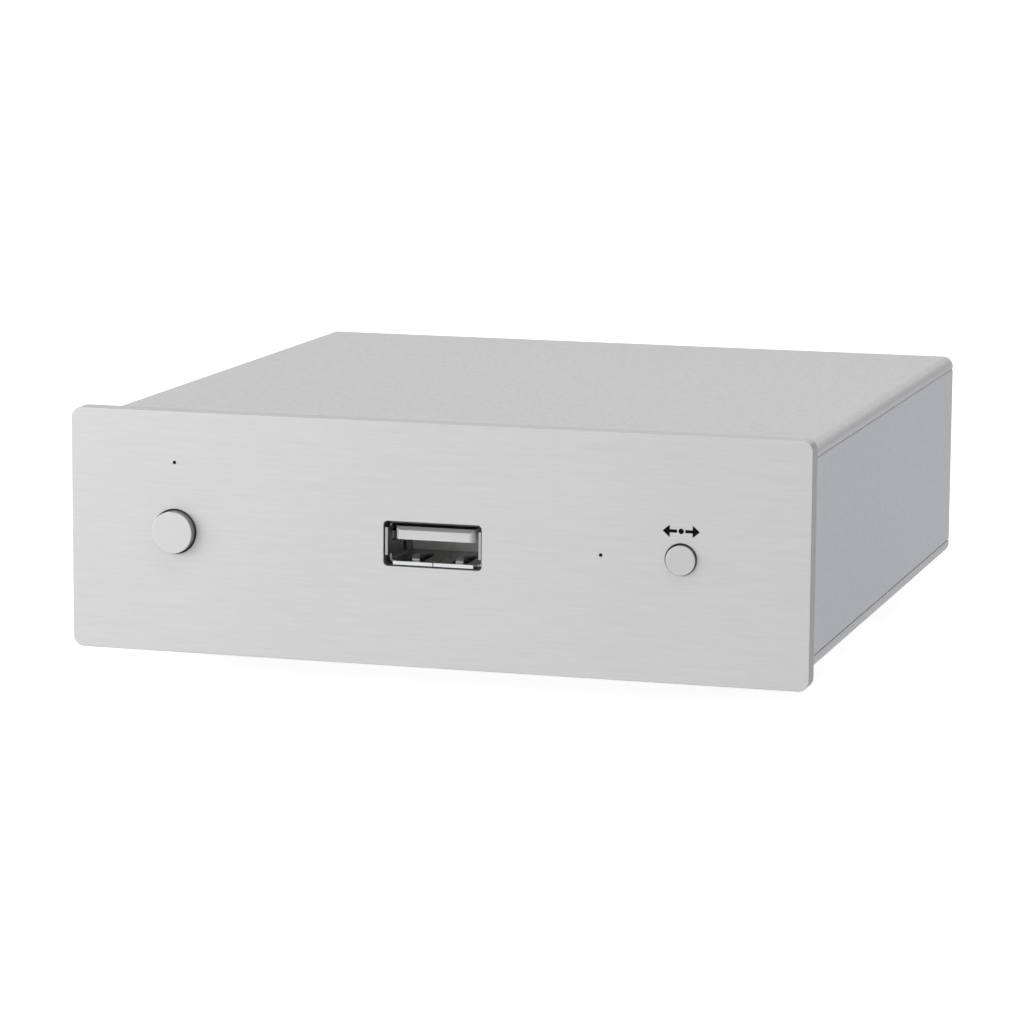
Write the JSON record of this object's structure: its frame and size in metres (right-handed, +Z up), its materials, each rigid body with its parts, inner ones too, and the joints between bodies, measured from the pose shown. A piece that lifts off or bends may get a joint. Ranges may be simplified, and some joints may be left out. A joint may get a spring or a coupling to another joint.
{
  "type": "network music streamer",
  "caption": "Compact network music streamer: flat aluminium box with a wider brushed front panel, round push buttons, pinhole lights and a USB port.",
  "frame": {"origin": "under the middle of the bounding box, on the surface that the feet stand on", "axes": "+X to the right as seen from the front, +Y from the front panel to the back, +Z up"},
  "size_m": [0.103, 0.1196, 0.037],
  "materials": {
    "panel_aluminium": "fine horizontal brushing, clear anodised",
    "case_aluminium": "fine bead-blasted satin, clear anodised",
    "button_aluminium": "turned and finely brushed, clear anodised",
    "sink_aluminium": "black anodised, extruded",
    "can_aluminium": "drawn can with a dark polarity mark",
    "plain_steel": "zinc-plated sheet",
    "screw_steel": "zinc-plated",
    "port_steel": "nickel-plated folded sheet",
    "contact_gold": "gold-flashed contacts",
    "connector_gold": "gold-plated turned metal",
    "foot_rubber": "matte black",
    "pad_rubber": "soft grey-blue heat-conducting pad",
    "adhesive_film": "double-sided film",
    "black_plastic": "fine moulded texture",
    "white_plastic": "fine moulded texture",
    "red_plastic": "fine moulded texture",
    "tongue_plastic": "pale satin moulded plastic",
    "chip_plastic": "moulded resin",
    "board_laminate": "glass laminate under green solder mask",
    "lead_plastic": "smooth extruded jacket",
    "clear_plastic": "clear moulded light guide",
    "lamp_plastic": "milky resin"
  },
  "bodies": {
    "case": {"front_panel": "panel_aluminium", "front_adhesive": "adhesive_film", "front_subpanel": "plain_steel", "subpanel_screws": "screw_steel", "top_plate": "case_aluminium", "bottom_plate": "case_aluminium", "side_profile_left": "case_aluminium", "side_profile_right": "case_aluminium", "rear_panel": "case_aluminium", "rear_panel_screws": "screw_steel", "foot_front_left": "foot_rubber", "foot_front_right": "foot_rubber", "foot_rear_left": "foot_rubber", "foot_rear_right": "foot_rubber", "foot_screws": "screw_steel", "power_switch_body": "black_plastic", "source_switch_body": "black_plastic", "power_lamp": "lamp_plastic", "power_light_pipe": "clear_plastic", "status_lamp": "lamp_plastic", "status_light_pipe": "clear_plastic", "front_usb_shell": "port_steel", "front_usb_tongue": "tongue_plastic", "front_usb_contacts": "contact_gold", "rear_usb_shell": "port_steel", "rear_usb_tongue": "tongue_plastic", "rear_usb_contacts": "contact_gold", "ethernet_shell": "port_steel", "ethernet_housing": "black_plastic", "ethernet_contacts": "contact_gold", "phono_housing": "black_plastic", "phono_ring_left": "white_plastic", "phono_ring_right": "red_plastic", "phono_barrels": "connector_gold", "phono_inserts": "black_plastic", "power_inlet": "black_plastic", "power_inlet_pin": "port_steel", "antenna_connector": "connector_gold", "antenna_pin": "contact_gold", "antenna_washer": "screw_steel", "antenna_nut": "connector_gold", "antenna_lead": "lead_plastic", "antenna_plug": "contact_gold", "wireless_module": "port_steel", "main_board": "board_laminate", "module_connectors": "black_plastic", "compute_module": "board_laminate", "processor": "chip_plastic", "thermal_pad": "pad_rubber", "heat_sink": "sink_aluminium", "converter_chip": "chip_plastic", "inductor": "chip_plastic", "small_capacitors": "can_aluminium", "large_capacitors": "can_aluminium"},
    "power_button": {"power_button": "button_aluminium", "power_plunger": "black_plastic", "power_switch_actuator": "white_plastic"},
    "source_button": {"source_button": "button_aluminium", "source_plunger": "black_plastic", "source_switch_actuator": "white_plastic"}
  },
  "joints": [
    {"name": "power_press", "type": "slide", "parent": "case", "child": "power_button", "axis": [0, 1, 0], "range_m": [0, 0.0005], "stiffness_N_per_m": 1200, "springref_m": -0.0008},
    {"name": "source_press", "type": "slide", "parent": "case", "child": "source_button", "axis": [0, 1, 0], "range_m": [0, 0.0003], "stiffness_N_per_m": 1200, "springref_m": -0.0008}
  ]
}
